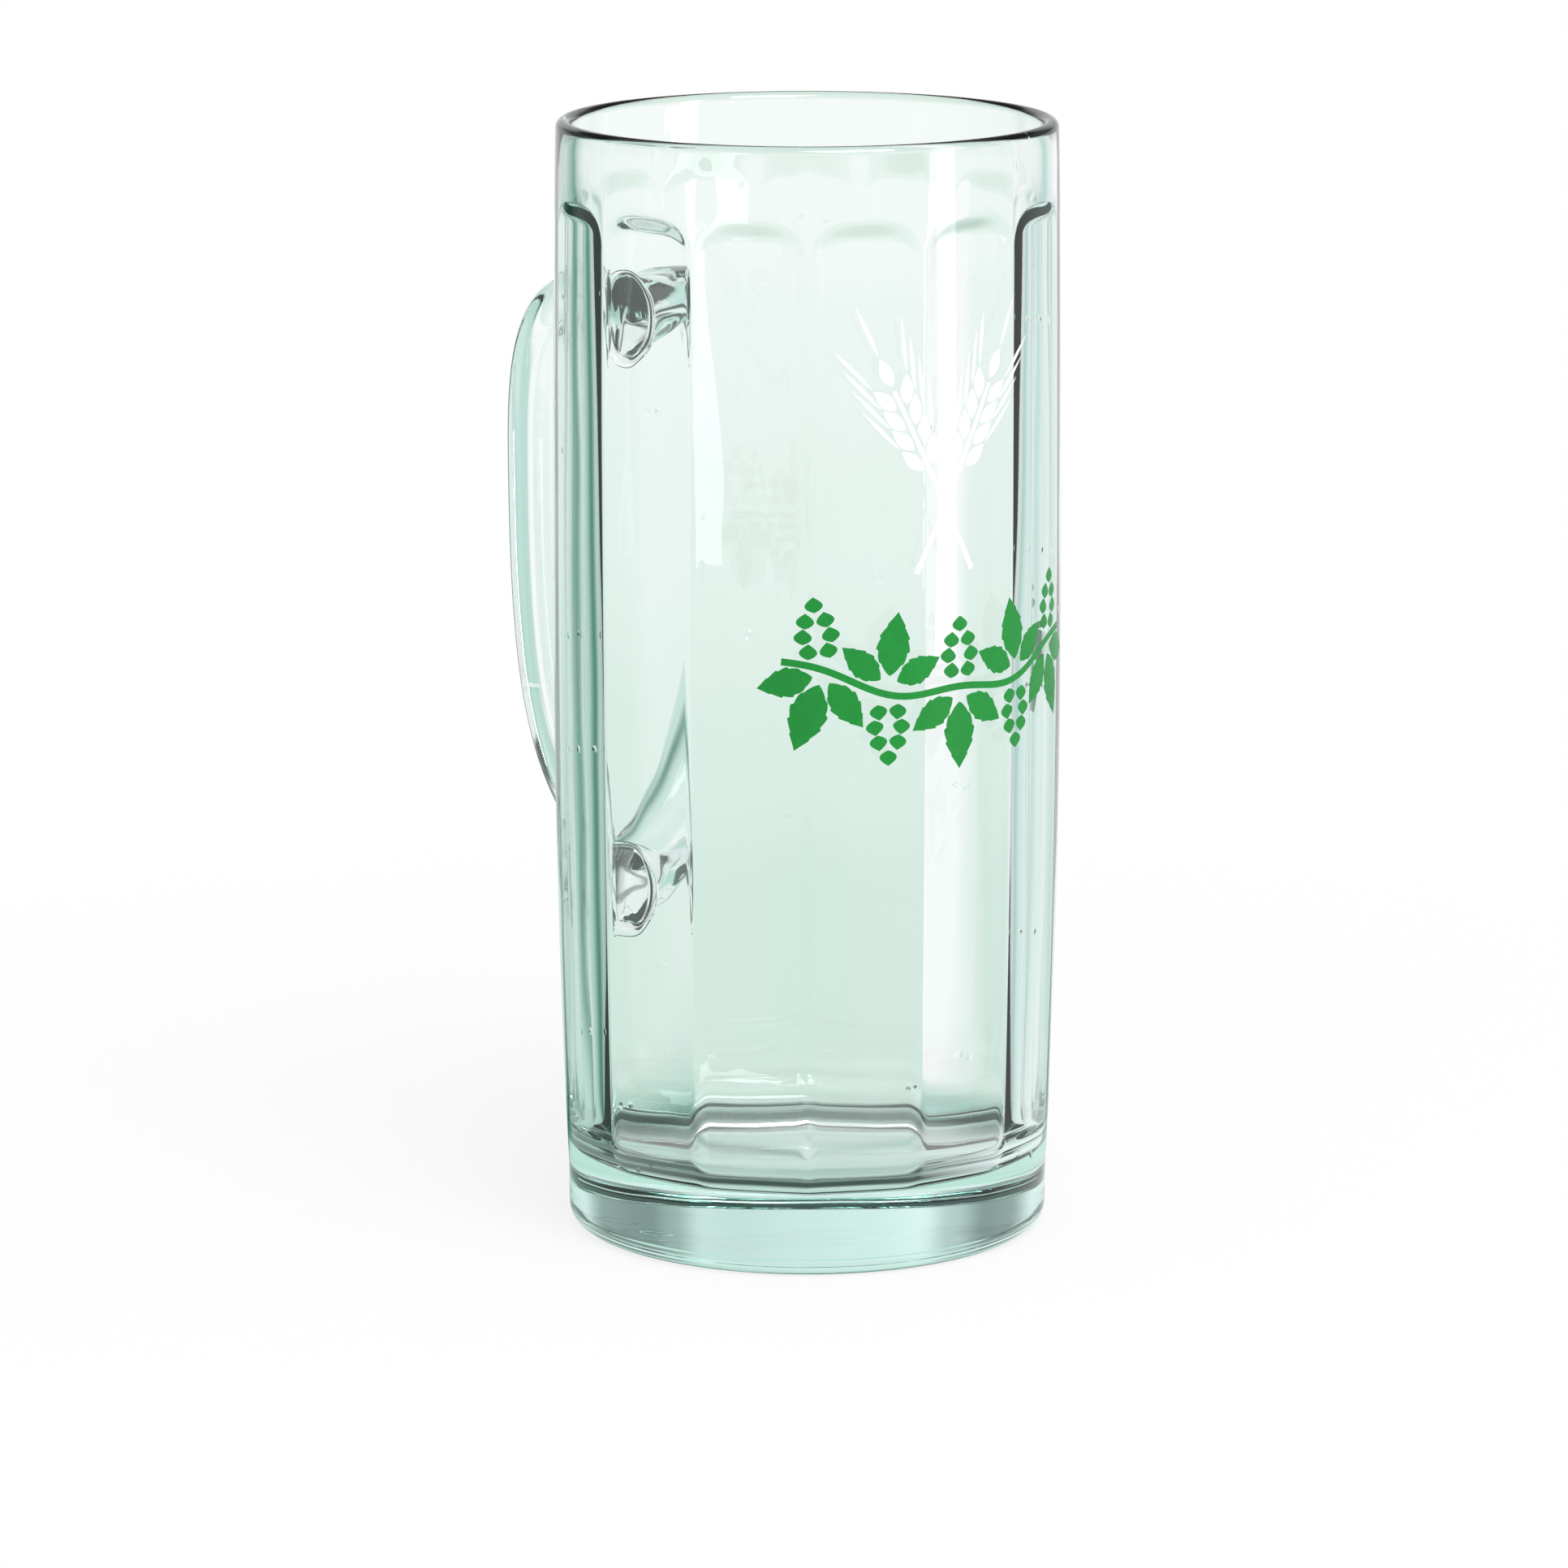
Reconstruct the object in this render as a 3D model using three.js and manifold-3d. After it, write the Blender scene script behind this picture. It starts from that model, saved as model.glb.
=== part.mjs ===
// Tall half-litre beer mug of clear pressed glass: a body that is round outside and panelled inside,
// and a strap handle welded to it.
// Millimetres, +Z up. The origin is on the mug's axis, in the plane that the mug stands on.
// The handle is on the +X side, in line with a corner between two of the panels.
import * as THREE from "three";
import { mergeVertices } from "three/addons/utils/BufferGeometryUtils.js";
import Module from "manifold-3d";

// Outside of the body
const HEIGHT = 176.5;
const RIM_RADIUS = 39.2;
const BELLY_RADIUS = 40;
const BELLY_HEIGHT = 90;
const FOOT_RADIUS = 38.1;
const FOOT_STRAIGHT = 8;
const HEEL_RADIUS = 3;

// Inside of the body
const LIP_WALL = 2.6;
const LIP_ROUND = 1.3;
const LOWER_WALL = 3.1;
const FLOOR_THICKNESS = 12;
const FLOOR_FILLET = 7;

// Flat panels on the inside, with round corners that are flush with the round band under the lip
const PANELS = 13;
const CORNER_RADIUS = 5.5;
const WINDOW_TOP_DROP = 11.4;
const SHELF_RUN = 3.2;
const ARCH_DROP = 4;

// Underside, which stands on a ring round a shallow recess
const RING_WIDTH = 6;
const RECESS_DEPTH = 0.8;
const RECESS_SLOPE = 1.4;

// Strap handle
const STRAP_WIDTH = 9.5;
const STRAP_THICKNESS = 7.3;
const SHOULDER_THICKNESS = 7.8;
const FINGER_GAP = 22.8;
const UPPER_ROOT_DROP = 36.2;
const LOWER_ROOT_HEIGHT = 47.9;
const SHOULDER_RISE = 9.7;
const SHOULDER_REACH = 23.8;
const GRIP_TOP_DROP = 22.8;
const SHOULDER_TENSION = 15;
const GRIP_TENSION = 48.6;
const LOWER_LEG_REACH = 20.8;
const LOWER_LEG_RISE = 13.5;
const ROOT_FILLET = 2;
const ROOT_DEPTH = 3;
const SECTION_SQUARENESS = 3.2;
const ROOT_SQUARENESS = 2.2;

// Seam that stands for the weld between the handle and the body
const WELD_GAP = 0.3;

// Facets
const FACETS_PER_PANEL = 6;
const CORNER_CROWDING = 1.8;
const ARC_STEPS = 4;
const WALL_STEPS = 8;
const SHELF_STEPS = 5;
const SECTION_STEPS = 28;
const PATH_STEPS = 30;
const FILLET_STEPS = 5;

const wasm = await Module();
wasm.setup();

const glass = new THREE.MeshStandardMaterial({
  color: 0xdfeee6,
  roughness: 0.04,
  metalness: 0,
  transparent: true,
  opacity: 0.35,
});

// Heights and angles that follow from the driving sizes
const windowTop = HEIGHT - WINDOW_TOP_DROP;
const shelfFoot = windowTop - SHELF_RUN;
const lipFoot = HEIGHT - LIP_ROUND;
const filletTop = FLOOR_THICKNESS + FLOOR_FILLET;
const panelHalf = Math.PI / PANELS;
const lathePhi = PANELS * FACETS_PER_PANEL;

const smooth = (x) => {
  const t = THREE.MathUtils.clamp(x, 0, 1);
  return t * t * (3 - 2 * t);
};

// Radius of the round outside: a straight foot, a belly and a drawn-in rim
function roundRadius(z) {
  if (z <= FOOT_STRAIGHT) return FOOT_RADIUS;
  if (z < BELLY_HEIGHT) {
    const below = (BELLY_HEIGHT - z) / (BELLY_HEIGHT - FOOT_STRAIGHT);
    return BELLY_RADIUS - (BELLY_RADIUS - FOOT_RADIUS) * below * below;
  }
  const above = Math.min((z - BELLY_HEIGHT) / (HEIGHT - BELLY_HEIGHT), 1);
  return BELLY_RADIUS - (BELLY_RADIUS - RIM_RADIUS) * above * above;
}

const innerFoot = roundRadius(filletTop) - LOWER_WALL;
const lipInner = RIM_RADIUS - LIP_WALL;

// Radius of the drafted inside, before its panels are pressed
function innerRadius(z) {
  return THREE.MathUtils.mapLinear(z, filletTop, lipFoot, innerFoot, lipInner);
}

// Angle from the middle of the nearest panel, with a corner on the +X side
function panelAngle(phi) {
  const turn = 2 * panelHalf;
  return phi - panelHalf - turn * Math.round((phi - panelHalf) / turn);
}

// Turns an evenly spaced angle to one that lies closer to the corners, where the inside bends most
function crowded(phi) {
  const local = panelAngle(phi);
  const share = 1 - (1 - Math.min(Math.abs(local) / panelHalf, 1)) ** CORNER_CROWDING;
  return phi - local + Math.sign(local) * share * panelHalf;
}

// Radius of a regular polygon with round corners that touch the circle of the given radius
function polygonRadius(phi, radius) {
  const apothem = radius * Math.cos(panelHalf) + CORNER_RADIUS * (1 - Math.cos(panelHalf));
  const local = Math.abs(panelAngle(phi));
  const flatEnd = Math.atan(((apothem - CORNER_RADIUS) * Math.tan(panelHalf)) / apothem);
  if (local <= flatEnd) return apothem / Math.cos(local);
  const centre = (apothem - CORNER_RADIUS) / Math.cos(panelHalf);
  const off = panelHalf - local;
  return centre * Math.cos(off) + Math.sqrt(CORNER_RADIUS ** 2 - (centre * Math.sin(off)) ** 2);
}

// Moves a point of the round inside onto its panels. The shelf under the lip dips towards each corner,
// so every panel ends in an arch, and the panels run on over the fillet to the middle of the floor.
function pressPoint(phi, radius, z) {
  const outline = Math.max(radius, innerFoot);
  const change = polygonRadius(phi, outline) / outline - 1;
  const pressed = smooth((windowTop - z) / SHELF_RUN);
  const side = Math.abs(panelAngle(phi) / panelHalf) ** 4;
  const high = smooth((z - BELLY_HEIGHT) / (shelfFoot - BELLY_HEIGHT));
  return { radius: radius * (1 + change * pressed), z: z - side * ARCH_DROP * high };
}

// Rows of an arc from one angle to another about a centre in the profile plane
function arc(x, z, radiusX, radiusZ, from, to) {
  return Array.from({ length: ARC_STEPS + 1 }, (_, i) => {
    const a = THREE.MathUtils.degToRad(from + ((to - from) * i) / ARC_STEPS);
    return new THREE.Vector2(x + radiusX * Math.cos(a), z + radiusZ * Math.sin(a));
  });
}

// Rows between two heights, without the last
function rows(from, to, count) {
  return Array.from({ length: count }, (_, i) => from + ((to - from) * i) / count);
}

// Points of the outer wall from the heel to the lip, moved outwards by a distance
function outerWall(grow) {
  return [...rows(HEEL_RADIUS, lipFoot, WALL_STEPS), lipFoot].map(
    (z) => new THREE.Vector2(roundRadius(z) + grow, z),
  );
}

// A lathe about Z of an outside and an inside profile, with the inside pressed to the panels
function panelledLathe(outside, inside) {
  const profile = [...outside, ...inside];
  const geometry = new THREE.LatheGeometry(profile, lathePhi);
  geometry.rotateX(Math.PI / 2);
  const position = geometry.getAttribute("position");
  for (let i = 0; i < position.count; i++) {
    const row = i % profile.length;
    const phi = crowded(Math.atan2(position.getY(i), position.getX(i)));
    const { x: radius, y: z } = profile[row];
    const place = row < outside.length ? { radius, z } : pressPoint(phi, radius, z);
    position.setXYZ(i, place.radius * Math.cos(phi), place.radius * Math.sin(phi), place.z);
  }
  return geometry;
}

// A closed geometry as a solid for cutting, and the way back
function solidOf(geometry) {
  const bare = geometry.clone();
  bare.deleteAttribute("normal");
  bare.deleteAttribute("uv");
  const merged = mergeVertices(bare, 1e-4);
  const triangles = [];
  for (let i = 0; i < merged.index.count; i += 3) {
    const [a, b, c] = [0, 1, 2].map((k) => merged.index.getX(i + k));
    if (a !== b && b !== c && c !== a) triangles.push(a, b, c);
  }
  return new wasm.Manifold(
    new wasm.Mesh({
      numProp: 3,
      vertProperties: merged.getAttribute("position").array,
      triVerts: new Uint32Array(triangles),
    }),
  );
}

function geometryOf(solid) {
  const mesh = solid.getMesh();
  const geometry = new THREE.BufferGeometry();
  geometry.setAttribute("position", new THREE.BufferAttribute(mesh.vertProperties, 3));
  geometry.setIndex(new THREE.BufferAttribute(mesh.triVerts, 1));
  geometry.computeVertexNormals();
  return geometry;
}

// Body: recessed underside, standing ring, heel, round wall and lip, then the panelled inside and floor
function mugBody() {
  const ringOuter = FOOT_RADIUS - HEEL_RADIUS;
  const ringInner = ringOuter - RING_WIDTH;
  const outside = [
    new THREE.Vector2(0, RECESS_DEPTH),
    new THREE.Vector2(ringInner - RECESS_SLOPE, RECESS_DEPTH),
    new THREE.Vector2(ringInner, 0),
    ...arc(ringOuter, HEEL_RADIUS, HEEL_RADIUS, HEEL_RADIUS, -90, 0).slice(0, -1),
    ...outerWall(0).slice(0, -1),
    ...arc(RIM_RADIUS - LIP_WALL / 2, lipFoot, LIP_WALL / 2, LIP_ROUND, 0, 180),
  ];
  const heights = [
    ...rows(windowTop, shelfFoot, SHELF_STEPS),
    ...rows(shelfFoot, filletTop, WALL_STEPS),
  ];
  const inside = [
    ...heights.map((z) => new THREE.Vector2(innerRadius(z), z)),
    ...arc(innerFoot - FLOOR_FILLET, filletTop, FLOOR_FILLET, FLOOR_FILLET, 0, -90),
    new THREE.Vector2(0, FLOOR_THICKNESS),
  ];
  return panelledLathe(outside, inside);
}

// The body's outside as one solid, grown by the weld gap, which trims the handle's roots
function rootTrimmer() {
  const first = new THREE.Vector2(0, HEEL_RADIUS);
  const last = new THREE.Vector2(0, lipFoot);
  return panelledLathe([first, ...outerWall(WELD_GAP), last], []);
}

// Centre line of the strap in the XZ plane: out of the upper root, over the shoulder, down the grip
// and in along a slanting lower leg
function strapPath() {
  const upper = HEIGHT - UPPER_ROOT_DROP;
  const grip = upper - GRIP_TOP_DROP;
  const upperWall = roundRadius(upper);
  const lowerWall = roundRadius(LOWER_ROOT_HEIGHT);
  const reach = BELLY_RADIUS + FINGER_GAP + STRAP_THICKNESS / 2;
  const legSlope = LOWER_LEG_RISE / LOWER_LEG_REACH;
  const path = new THREE.CurvePath();
  const point = (x, z) => new THREE.Vector3(x, 0, z);
  path.add(new THREE.LineCurve3(point(upperWall - ROOT_DEPTH, upper), point(upperWall, upper)));
  path.add(
    new THREE.CubicBezierCurve3(
      point(upperWall, upper),
      point(upperWall + SHOULDER_REACH, upper + SHOULDER_RISE),
      point(reach, grip + SHOULDER_TENSION),
      point(reach, grip),
    ),
  );
  path.add(
    new THREE.CubicBezierCurve3(
      point(reach, grip),
      point(reach, grip - GRIP_TENSION),
      point(lowerWall + LOWER_LEG_REACH, LOWER_ROOT_HEIGHT + LOWER_LEG_RISE),
      point(lowerWall, LOWER_ROOT_HEIGHT),
    ),
  );
  path.add(
    new THREE.LineCurve3(
      point(lowerWall, LOWER_ROOT_HEIGHT),
      point(lowerWall - ROOT_DEPTH, LOWER_ROOT_HEIGHT - ROOT_DEPTH * legSlope),
    ),
  );
  return path;
}

// Distances along the path where the strap gets a section: close together on the root fillets
function sectionPlaces(length) {
  const first = ROOT_DEPTH;
  const last = length - ROOT_DEPTH;
  return [
    0,
    ...rows(first, first + ROOT_FILLET, FILLET_STEPS),
    ...rows(first + ROOT_FILLET, last - ROOT_FILLET, PATH_STEPS),
    ...rows(last - ROOT_FILLET, last, FILLET_STEPS),
    last,
    length,
  ];
}

// How much a root's fillet widens the strap on each side, at a distance out from the wall
function flare(out) {
  const rest = THREE.MathUtils.clamp(1 - out / ROOT_FILLET, 0, 1);
  return ROOT_FILLET * (1 - Math.sqrt(1 - rest * rest));
}

// Direction of a section's thickness: square to the path, but upright, like the wall, at a root
function sectionUp(along, out) {
  const square = new THREE.Vector3(-along.z, 0, along.x);
  const upright = new THREE.Vector3(0, 0, Math.sign(along.x) || 1);
  const lean = smooth(1.5 - out / ROOT_FILLET / 2);
  const up = square.clone().lerp(upright, lean);
  return up.divideScalar(up.dot(square));
}

// The strap as a loft of rounded sections along its path, with closed ends
function strapLoft() {
  const path = strapPath();
  const length = path.getLength();
  const places = sectionPlaces(length);
  const vertices = [];
  const triangles = [];
  for (const place of places) {
    const centre = path.getPointAt(place / length);
    const along = path.getTangentAt(place / length);
    const out = Math.min(place, length - place) - ROOT_DEPTH;
    const across = sectionUp(along, out);
    const widen = flare(out);
    const clear = smooth(out / ROOT_FILLET / 2);
    const squareness = THREE.MathUtils.lerp(ROOT_SQUARENESS, SECTION_SQUARENESS, clear);
    const thin = smooth((place - ROOT_DEPTH) / (SHOULDER_REACH + GRIP_TOP_DROP));
    const thickness = THREE.MathUtils.lerp(SHOULDER_THICKNESS, STRAP_THICKNESS, thin);
    for (let i = 0; i < SECTION_STEPS; i++) {
      const a = (2 * Math.PI * i) / SECTION_STEPS;
      const squared = (v) => Math.sign(v) * Math.abs(v) ** (2 / squareness);
      const side = (STRAP_WIDTH / 2 + widen) * squared(Math.cos(a));
      const deep = (thickness / 2 + widen) * squared(Math.sin(a));
      vertices.push(centre.x + across.x * deep, side, centre.z + across.z * deep);
    }
  }
  const ringStart = (ring) => ring * SECTION_STEPS;
  for (let ring = 0; ring + 1 < places.length; ring++) {
    for (let i = 0; i < SECTION_STEPS; i++) {
      const next = (i + 1) % SECTION_STEPS;
      const [a, b] = [ringStart(ring) + i, ringStart(ring) + next];
      const [c, d] = [ringStart(ring + 1) + i, ringStart(ring + 1) + next];
      triangles.push(a, b, d, a, d, c);
    }
  }
  const lastRing = ringStart(places.length - 1);
  for (let i = 1; i + 1 < SECTION_STEPS; i++) {
    triangles.push(0, i + 1, i, lastRing, lastRing + i, lastRing + i + 1);
  }
  const geometry = new THREE.BufferGeometry();
  geometry.setAttribute("position", new THREE.Float32BufferAttribute(vertices, 3));
  geometry.setIndex(triangles);
  return geometry;
}

function named(name, geometry) {
  const mesh = new THREE.Mesh(geometry, glass);
  mesh.name = name;
  return mesh;
}

const mug = new THREE.Group();
mug.name = "beer_mug";
mug.add(named("mug_body", mugBody()));
mug.add(named("strap_handle", geometryOf(solidOf(strapLoft()).subtract(solidOf(rootTrimmer())))));

export default mug;
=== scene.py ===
"""Looks of a tall half-litre beer mug: panelled pressed glass, a welded strap and a fired enamel print."""

import math

import bmesh
import bpy
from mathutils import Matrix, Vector


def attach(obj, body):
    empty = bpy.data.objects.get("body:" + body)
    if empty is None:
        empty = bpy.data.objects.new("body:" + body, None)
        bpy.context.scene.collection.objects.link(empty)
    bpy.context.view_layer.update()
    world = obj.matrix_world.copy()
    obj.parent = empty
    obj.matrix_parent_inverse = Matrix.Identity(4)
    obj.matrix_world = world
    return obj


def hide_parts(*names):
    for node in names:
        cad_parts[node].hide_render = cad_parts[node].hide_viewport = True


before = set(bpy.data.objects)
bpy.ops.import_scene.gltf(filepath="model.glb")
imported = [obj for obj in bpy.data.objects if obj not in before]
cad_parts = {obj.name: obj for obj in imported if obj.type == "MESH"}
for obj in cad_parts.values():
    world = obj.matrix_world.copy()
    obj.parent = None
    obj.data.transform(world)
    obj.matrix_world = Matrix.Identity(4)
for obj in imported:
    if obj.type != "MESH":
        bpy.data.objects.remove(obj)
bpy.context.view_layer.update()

MM = 0.001

# Outside of the body, in millimetres as in the part's source
HEIGHT = 176.5
RIM_RADIUS = 39.2
BELLY_RADIUS = 40.0
BELLY_HEIGHT = 90.0
FOOT_RADIUS = 38.1
FOOT_STRAIGHT = 8.0
HEEL_RADIUS = 3.0

# Flat panels pressed on the inside
PANELS = 13
CORNER_RADIUS = 5.5
WINDOW_TOP_DROP = 11.4
SHELF_RUN = 3.2
ARCH_DROP = 4.0
ARCH_SHARPNESS = 4.0

# Inside and underside of the body
LIP_WALL = 2.6
LIP_ROUND = 1.3
LOWER_WALL = 3.1
FLOOR_THICKNESS = 12.0
FLOOR_FILLET = 7.0
RING_WIDTH = 6.0
RECESS_DEPTH = 0.8
RECESS_SLOPE = 1.4

# Strap handle
STRAP_WIDTH = 9.5
STRAP_THICKNESS = 7.3
SHOULDER_THICKNESS = 7.8
FINGER_GAP = 22.8
UPPER_ROOT_DROP = 36.2
LOWER_ROOT_HEIGHT = 47.9
SHOULDER_RISE = 9.7
SHOULDER_REACH = 23.8
GRIP_TOP_DROP = 22.8
SHOULDER_TENSION = 15.0
GRIP_TENSION = 48.6
LOWER_LEG_REACH = 20.8
LOWER_LEG_RISE = 13.5
SECTION_SQUARENESS = 3.2

# Roots of the strap: the upright oval that each one ends in, and how far from the wall each change runs
ROOT_HALF_WIDTH = 3.2
UPPER_ROOT_HALF_DEPTH = 6.0
LOWER_ROOT_HALF_DEPTH = 5.2
ROOT_SQUARENESS = 2.2
WELD_FILLET = 1.3
OVAL_RUN = 9.0
ROUNDING_RUN = 4.0
SEAT_RUN = 3.0
UPRIGHT_START = 6.0
UPRIGHT_END = 2.0

# Facets round the body and the strap
COLUMNS = PANELS * 24
CORNER_CROWDING = 1.8
SECTION_STEPS = 64

# Rows of facets along the body's outline, from the middle of the underside to the middle of the floor
RECESS_ROWS = 8
SLOPE_ROWS = 8
RING_ROWS = 5
HEEL_ROWS = 12
WALL_ROWS = 70
LIP_ROWS = 20
NECK_ROWS = 5
SHELF_ROWS = 36
PANEL_ROWS = 40
FILLET_ROWS = 14
FLOOR_ROWS = 7

# Rows of facets along the strap, which lie closer together over the last stretch at each root
LINE_STEPS = 600
WELD_ROWS = 8
CLOSE_ROWS = 14
CLOSE_RUN = 2.0
STRAP_ROWS = 120

# Points nearer than these, in metres, become one
SEAM_GAP = 1e-6
DOUBLE_GAP = 1e-7

WINDOW_TOP = HEIGHT - WINDOW_TOP_DROP
SHELF_FOOT = WINDOW_TOP - SHELF_RUN
UPPER_ROOT = HEIGHT - UPPER_ROOT_DROP
LIP_FOOT = HEIGHT - LIP_ROUND
FILLET_TOP = FLOOR_THICKNESS + FLOOR_FILLET


def smooth(x):
    """A soft step from 0 to 1."""
    t = min(max(x, 0.0), 1.0)
    return t * t * (3 - 2 * t)


def mix(a, b, t):
    return a + (b - a) * t


def spread(start, end, count):
    """Evenly spaced values from start up to, but without, end."""
    return [start + (end - start) * i / count for i in range(count)]


def round_radius(z):
    """Outer radius of the body: a straight foot, a belly and a drawn-in rim."""
    if z <= FOOT_STRAIGHT:
        return FOOT_RADIUS
    if z < BELLY_HEIGHT:
        below = (BELLY_HEIGHT - z) / (BELLY_HEIGHT - FOOT_STRAIGHT)
        return BELLY_RADIUS - (BELLY_RADIUS - FOOT_RADIUS) * below * below
    above = min((z - BELLY_HEIGHT) / (HEIGHT - BELLY_HEIGHT), 1.0)
    return BELLY_RADIUS - (BELLY_RADIUS - RIM_RADIUS) * above * above


INNER_FOOT = round_radius(FILLET_TOP) - LOWER_WALL


def inner_radius(z):
    """Radius of the drafted inside, before its panels."""
    return mix(INNER_FOOT, RIM_RADIUS - LIP_WALL, (z - FILLET_TOP) / (LIP_FOOT - FILLET_TOP))


def arc(x, z, radius_x, radius_z, start, end, count):
    """Points of an elliptic arc between two angles in degrees."""
    points = []
    for i in range(count + 1):
        a = math.radians(start + (end - start) * i / count)
        points.append((x + radius_x * math.cos(a), z + radius_z * math.sin(a)))
    return points


# Node trees


class Graph:
    """A node tree with short ways to add nodes, feed their sockets and do arithmetic."""

    def __init__(self, tree):
        self.tree = tree

    def node(self, kind, *values, **settings):
        node = self.tree.nodes.new(kind)
        for key, value in settings.items():
            setattr(node, key, value)
        for socket, value in zip(node.inputs, values):
            self.feed(socket, value)
        return node

    def feed(self, socket, value):
        if isinstance(value, bpy.types.NodeSocket):
            self.tree.links.new(value, socket)
        elif value is not None:
            socket.default_value = value

    def math(self, operation, *values):
        return self.node("ShaderNodeMath", *values, operation=operation).outputs[0]

    def add(self, a, b):
        return self.math("ADD", a, b)

    def sub(self, a, b):
        return self.math("SUBTRACT", a, b)

    def mul(self, a, b):
        return self.math("MULTIPLY", a, b)

    def div(self, a, b):
        return self.math("DIVIDE", a, b)

    def power(self, a, b):
        return self.math("POWER", a, b)

    def larger(self, a, b):
        return self.math("MAXIMUM", a, b)

    def above(self, a, b):
        return self.math("GREATER_THAN", a, b)

    def absolute(self, a):
        return self.math("ABSOLUTE", a)

    def span(self, value, before, after):
        """A value moved from one range, given by its ends, to another."""
        return self.node("ShaderNodeMapRange", value, *before, *after).outputs[0]

    def scale(self, vector, factor):
        node = self.node("ShaderNodeVectorMath", vector, operation="SCALE")
        self.feed(node.inputs["Scale"], factor)
        return node.outputs[0]

    def join(self, x, y, z):
        return self.node("ShaderNodeCombineXYZ", x, y, z).outputs[0]

    def split(self, vector):
        return self.node("ShaderNodeSeparateXYZ", vector).outputs[:]

    def place(self):
        """A piece's own coordinates, which are the part's."""
        return self.node("ShaderNodeTexCoord").outputs["Object"]

    def noise(self, place, scale, detail):
        node = self.node("ShaderNodeTexNoise", place)
        node.inputs["Scale"].default_value = scale
        node.inputs["Detail"].default_value = detail
        return node.outputs[0]

    def finish(self, shape, material, leave):
        """Ends a geometry tree: real geometry, with its material."""
        real = self.node("GeometryNodeRealizeInstances", shape)
        made = self.node("GeometryNodeSetMaterial", real.outputs[0])
        self.feed(made.inputs["Material"], material)
        self.feed(leave, made.outputs[0])


def new_group(name, kind, inputs, outputs):
    """A node group with the named sockets, as its graph, group input and group output."""
    tree = bpy.data.node_groups.new(name, kind)
    for label, socket, default in inputs:
        made = tree.interface.new_socket(label, in_out="INPUT", socket_type="NodeSocket" + socket)
        if default is not None:
            made.default_value = default
    for label, socket in outputs:
        tree.interface.new_socket(label, in_out="OUTPUT", socket_type="NodeSocket" + socket)
    graph = Graph(tree)
    enter = graph.node("NodeGroupInput")
    leave = graph.node("NodeGroupOutput")
    return graph, enter.outputs, leave.inputs


def panel_side(graph, angle):
    """Place across the nearest panel, from -1 to 1, with a corner where the angle is zero."""
    whole = graph.div(angle, 2 * math.pi / PANELS)
    return graph.sub(graph.mul(graph.math("FRACT", whole), 2.0), 1.0)


def panel_angle(graph, angle):
    """Angle from the middle of the nearest panel."""
    return graph.mul(graph.absolute(panel_side(graph, angle)), math.pi / PANELS)


def crowded(graph, angle):
    """An evenly spaced angle moved closer to the nearest corner, where the wall bends most."""
    side = panel_side(graph, angle)
    left = graph.larger(graph.sub(1.0, graph.absolute(side)), 0.0)
    near = graph.mul(graph.math("SIGN", side), graph.sub(1.0, graph.power(left, CORNER_CROWDING)))
    return graph.add(angle, graph.mul(graph.sub(near, side), math.pi / PANELS))


def panelled_radius_group():
    """Radius of a polygon with flat sides and round corners, from the angle and the round radius."""
    graph, enter, leave = new_group(
        "Panelled radius",
        "GeometryNodeTree",
        [("Angle", "Float", 0.0), ("Round radius", "Float", RIM_RADIUS)],
        [("Radius", "Float")],
    )
    half = math.pi / PANELS
    corner_height = CORNER_RADIUS * (1 - math.cos(half))
    local = panel_angle(graph, enter["Angle"])
    apothem = graph.add(graph.mul(enter["Round radius"], math.cos(half)), corner_height)
    flat = graph.div(apothem, graph.math("COSINE", local))
    inner = graph.sub(apothem, CORNER_RADIUS)
    centre = graph.div(inner, math.cos(half))
    off = graph.sub(half, local)
    across = graph.mul(centre, graph.math("SINE", off))
    reach = graph.math("SQRT", graph.sub(CORNER_RADIUS**2, graph.mul(across, across)))
    corner = graph.add(graph.mul(centre, graph.math("COSINE", off)), reach)
    flat_end = graph.math("ARCTANGENT", graph.div(graph.mul(inner, math.tan(half)), apothem))
    past = graph.above(local, flat_end)
    graph.feed(leave["Radius"], graph.add(flat, graph.mul(past, graph.sub(corner, flat))))
    return graph.tree


def wall_radius_group():
    """Radius of the round outer wall at a height between the foot and the rim."""
    graph, enter, leave = new_group(
        "Wall radius",
        "GeometryNodeTree",
        [("Height", "Float", BELLY_HEIGHT)],
        [("Radius", "Float")],
    )
    off = graph.sub(enter["Height"], BELLY_HEIGHT)
    below = graph.larger(graph.mul(off, -1 / (BELLY_HEIGHT - FOOT_STRAIGHT)), 0.0)
    above = graph.larger(graph.mul(off, 1 / (HEIGHT - BELLY_HEIGHT)), 0.0)
    foot = graph.mul(graph.mul(below, below), BELLY_RADIUS - FOOT_RADIUS)
    rim = graph.mul(graph.mul(above, above), BELLY_RADIUS - RIM_RADIUS)
    graph.feed(leave["Radius"], graph.sub(graph.sub(BELLY_RADIUS, foot), rim))
    return graph.tree


PANELLED = panelled_radius_group()
WALL = wall_radius_group()


def wall_radius(graph, height):
    """Radius of the outer wall at a height that nodes give."""
    wall = graph.node("GeometryNodeGroup", node_tree=WALL)
    graph.feed(wall.inputs["Height"], height)
    return wall.outputs["Radius"]


def row_mesh(name, rows):
    """A line of points, one for each row of a surface, that carries the row's values as attributes."""
    mesh = bpy.data.meshes.new(name)
    mesh.from_pydata([row["place"] for row in rows], [], [])
    for key in rows[0]:
        if key == "place":
            continue
        vector = isinstance(rows[0][key], tuple)
        layer = mesh.attributes.new(key, "FLOAT_VECTOR" if vector else "FLOAT", "POINT")
        for item, row in zip(layer.data, rows):
            if vector:
                item.vector = row[key]
            else:
                item.value = row[key]
    return mesh


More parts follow.
